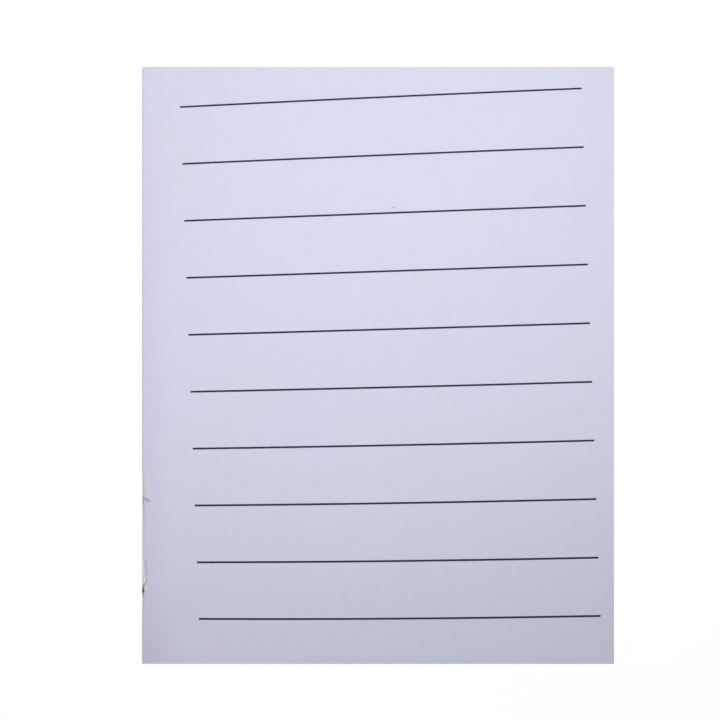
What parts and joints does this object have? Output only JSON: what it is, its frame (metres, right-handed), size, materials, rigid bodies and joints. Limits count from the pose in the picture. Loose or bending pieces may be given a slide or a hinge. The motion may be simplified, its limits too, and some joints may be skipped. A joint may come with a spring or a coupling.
{
  "type": "mini notebook",
  "caption": "Small stapled notebook of ruled leaves in a plain card cover, folded back at its centre spread; its halves turn about the fold from folded back to shut.",
  "frame": {"origin": "under the middle of the page, on the surface that the notebook lies on", "axes": "+X from the stapled fold to the fore-edge, +Y up the page, +Z out of the ruled page that lies face up"},
  "size_m": [0.0653, 0.0824, 0.0023],
  "materials": {
    "ruled_paper": "matte",
    "cover_card": "matte",
    "staple_wire": "satin"
  },
  "bodies": {
    "back_half": {"right_leaves": "ruled_paper", "back_cover": "cover_card"},
    "spine": {"sheet_folds": "ruled_paper", "cover_spine": "cover_card", "upper_staple": "staple_wire", "lower_staple": "staple_wire"},
    "front_half": {"left_leaves": "ruled_paper", "front_cover": "cover_card"}
  },
  "joints": [
    {"name": "back_fold", "type": "hinge", "parent": "back_half", "child": "spine", "pos_m": [-0.03204, 0, 0.00178], "axis": [0, 1, 0], "range_deg": [0, 179.5], "deforming": ["sheet_folds", "cover_spine"]},
    {"name": "front_fold", "type": "hinge", "parent": "spine", "child": "front_half", "pos_m": [-0.03204, 0, 0.00056], "axis": [0, 1, 0], "range_deg": [0, 179.5]}
  ],
  "couplings": [
    {"joint": "back_fold", "follows": "front_fold", "ratio": 1}
  ]
}
